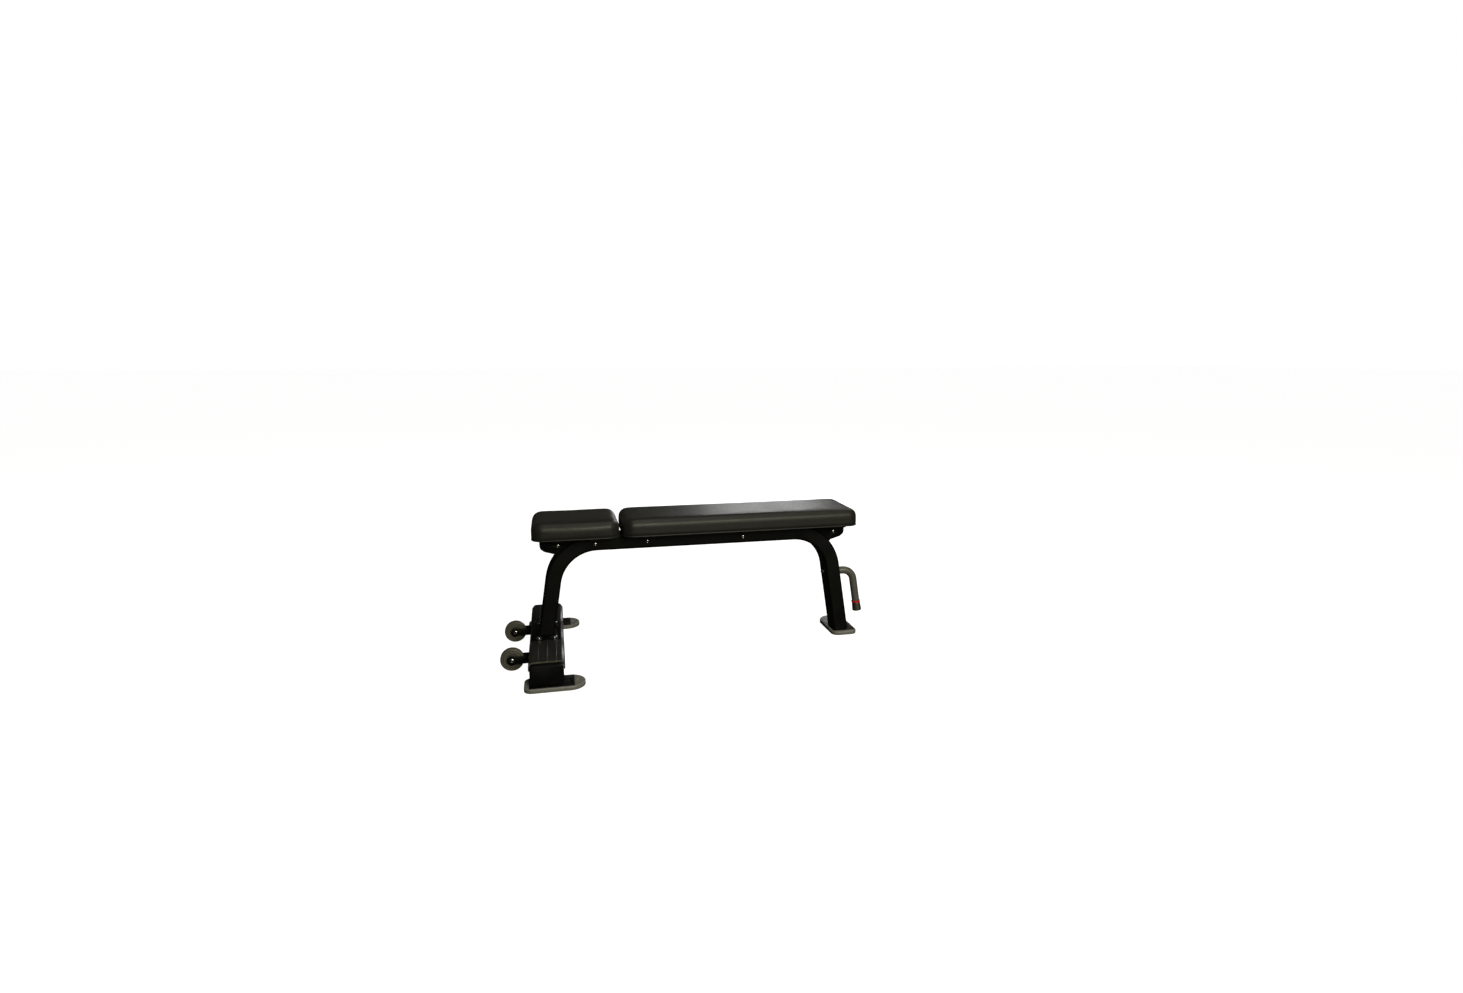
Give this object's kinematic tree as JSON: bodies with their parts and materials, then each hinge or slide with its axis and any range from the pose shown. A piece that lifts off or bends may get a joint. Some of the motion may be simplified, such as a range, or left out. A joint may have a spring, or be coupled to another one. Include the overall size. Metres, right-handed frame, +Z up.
{
  "type": "weight bench",
  "caption": "Flat weight bench: bent tube frame on cast feet, short and long padded top, ribbed spotter step, transport wheels and lift handle.",
  "frame": {"origin": "on the floor, below the centre of the bench's bounding box", "axes": "+X from the wheel end to the handle end, along the bench; +Y across the bench, away from the near wheel; +Z up"},
  "size_m": [1.2486, 0.6272, 0.4645],
  "materials": {
    "frame_paint": "fine-textured black powder coat, satin",
    "base_paint": "fine-textured black powder coat, satin",
    "saddle_paint": "smooth black paint, semi-gloss",
    "tread": "dark grey anodised, ribbed extrusion",
    "casting": "cast, painted silver grey, satin",
    "foot_plate": "smooth black paint, satin",
    "foot_rubber": "matt black",
    "vinyl": "black vinyl upholstery, fine grain, soft sheen",
    "foam": "upholstery foam",
    "board": "birch plywood",
    "strap_paint": "black paint, satin",
    "bright_bolt": "bright nickel plate",
    "zinc": "zinc plate",
    "urethane": "grey urethane, satin",
    "wheel_hub": "grey moulded nylon",
    "bush": "oil-filled bronze",
    "handle_silver": "satin silver, clear coated",
    "red_ring": "red moulded plastic",
    "cap_polished": "polished"
  },
  "bodies": {
    "frame": {"main_tube": "frame_paint", "gusset_wheel_end": "frame_paint", "gusset_handle_end": "frame_paint", "pad_straps": "strap_paint", "cross_bolts": "bright_bolt", "cross_nuts": "zinc", "pad_bolts": "zinc", "pad_tnuts": "zinc", "short_pad_board": "board", "short_pad_foam": "foam", "short_pad_cover": "vinyl", "long_pad_board": "board", "long_pad_foam": "foam", "long_pad_cover": "vinyl", "base_tube": "base_paint", "base_end_plate_near": "base_paint", "base_end_plate_far": "base_paint", "foot_plate_near": "foot_plate", "foot_plate_far": "foot_plate", "foot_plate_handle_end": "foot_plate", "foot_near": "casting", "foot_far": "casting", "foot_handle_end": "casting", "foot_screws": "zinc", "foot_pads": "foot_rubber", "saddle_plate": "saddle_paint", "saddle_bolts": "bright_bolt", "saddle_washers": "zinc", "saddle_nuts": "zinc", "tread_cover_near": "tread", "tread_cover_far": "tread", "wheel_fork_near": "frame_paint", "wheel_fork_far": "frame_paint", "fork_bolts": "zinc", "fork_nuts": "zinc", "axle_bolts": "bright_bolt", "axle_nuts": "zinc", "axle_washers": "zinc", "handle_tube": "handle_silver", "handle_plug": "zinc", "handle_bolt": "zinc", "handle_washer": "zinc", "handle_ring": "red_ring", "handle_cap": "cap_polished"},
    "wheel_near": {"wheel_near_tyre": "urethane", "wheel_near_hub": "wheel_hub", "wheel_near_bush": "bush"},
    "wheel_far": {"wheel_far_tyre": "urethane", "wheel_far_hub": "wheel_hub", "wheel_far_bush": "bush"}
  },
  "joints": [
    {"name": "wheel_near_spin", "type": "hinge", "parent": "frame", "child": "wheel_near", "pos_m": [-0.5883, -0.1276, 0.041], "axis": [0, 1, 0], "continuous": true},
    {"name": "wheel_far_spin", "type": "hinge", "parent": "frame", "child": "wheel_far", "pos_m": [-0.5883, 0.1276, 0.041], "axis": [0, 1, 0], "continuous": true}
  ]
}
